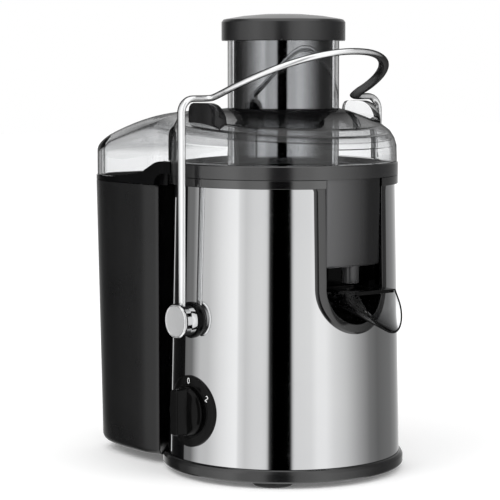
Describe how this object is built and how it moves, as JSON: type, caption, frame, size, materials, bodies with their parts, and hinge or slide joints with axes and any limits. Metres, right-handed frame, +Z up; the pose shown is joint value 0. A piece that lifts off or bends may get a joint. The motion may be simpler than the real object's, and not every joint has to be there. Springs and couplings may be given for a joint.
{
  "type": "centrifugal juicer",
  "caption": "Upright centrifugal juicer: steel-sleeved motor base, clear domed lid with wide feed chute and pusher, wire lock handle, pulp bin and drip spout.",
  "frame": {"origin": "middle of the footprint, at the undersides of the feet", "axes": "+Z up, +X towards the juice spout, -X towards the pulp bin, -Y the side with the speed knob"},
  "size_m": [0.2955, 0.2046, 0.3431],
  "materials": {
    "satin_black": "satin black moulded plastic",
    "gloss_black": "gloss black moulded plastic",
    "grey_plastic": "grey moulded plastic",
    "steel": "polished stainless steel",
    "chrome": "chrome-plated rod and hubs",
    "smoked_clear": "smoked clear plastic",
    "rubber": "black rubber",
    "copper": "enamelled copper winding",
    "iron": "laminated iron and zinc-plated steel",
    "carbon": "carbon brush"
  },
  "bodies": {
    "housing": {"base_ring": "satin_black", "base_plate": "satin_black", "body_trim": "satin_black", "juice_collector": "satin_black", "lock_pad_front": "satin_black", "foot_1": "rubber", "foot_2": "rubber", "foot_3": "rubber", "foot_4": "rubber", "shaft_seal": "rubber", "cord_inlet": "rubber", "rubber_mount_1": "rubber", "rubber_mount_2": "rubber", "rubber_mount_3": "rubber", "rubber_mount_4": "rubber", "hub_washer_front": "rubber", "hub_washer_rear": "rubber", "base_screw_1": "iron", "base_screw_2": "iron", "base_screw_3": "iron", "base_screw_4": "iron", "motor_stator": "iron", "lower_bracket": "iron", "upper_bracket": "iron", "body_shell": "gloss_black", "dial_plate": "gloss_black", "steel_sleeve": "steel", "lower_bearing": "steel", "upper_bearing": "steel", "motor_deck": "grey_plastic", "rotary_switch": "grey_plastic", "interlock_switch": "grey_plastic", "brush_holder_front": "grey_plastic", "brush_holder_rear": "grey_plastic", "field_coil_spout_side": "copper", "field_coil_bin_side": "copper", "lid": "smoked_clear", "lock_pad_rear": "smoked_clear", "brush_front": "carbon", "brush_rear": "carbon"},
    "lock_handle": {"lock_arm": "chrome", "hub_front": "chrome", "hub_rear": "chrome", "pivot_pin_front": "steel", "pivot_pin_rear": "steel"},
    "knob": {"speed_knob": "gloss_black"},
    "pusher": {"pusher_body": "gloss_black", "pusher_cap": "satin_black"},
    "bin": {"pulp_bin": "satin_black"},
    "spout": {"drip_spout": "smoked_clear"},
    "rotor": {"motor_shaft": "steel", "armature": "copper", "commutator": "copper", "cooling_fan": "grey_plastic", "drive_coupling": "satin_black", "basket_base": "grey_plastic", "grater_disc": "steel", "filter_mesh": "steel", "basket_rim": "grey_plastic"}
  },
  "joints": [
    {"name": "lock_handle_swing", "type": "hinge", "parent": "housing", "child": "lock_handle", "pos_m": [0.02225, 0.00075, 0.1186], "axis": [0, 1, 0], "range_deg": [0, 88]},
    {"name": "knob_turn", "type": "hinge", "parent": "housing", "child": "knob", "pos_m": [0.02225, -0.08925, 0.051], "axis": [0, 1, 0], "range_deg": [-60, 60]},
    {"name": "pusher_lift", "type": "slide", "parent": "housing", "child": "pusher", "axis": [0, 0, 1], "range_m": [0, 0.125]},
    {"name": "bin_slide", "type": "slide", "parent": "housing", "child": "bin", "axis": [-1, 0, 0], "range_m": [0, 0.11]},
    {"name": "spout_tilt", "type": "hinge", "parent": "housing", "child": "spout", "pos_m": [0.09225, 0.00075, 0.142], "axis": [0, -1, 0], "range_deg": [0, 28]},
    {"name": "rotor_spin", "type": "hinge", "parent": "housing", "child": "rotor", "pos_m": [0.02225, 0.00075, 0.104], "axis": [0, 0, 1], "continuous": true}
  ]
}
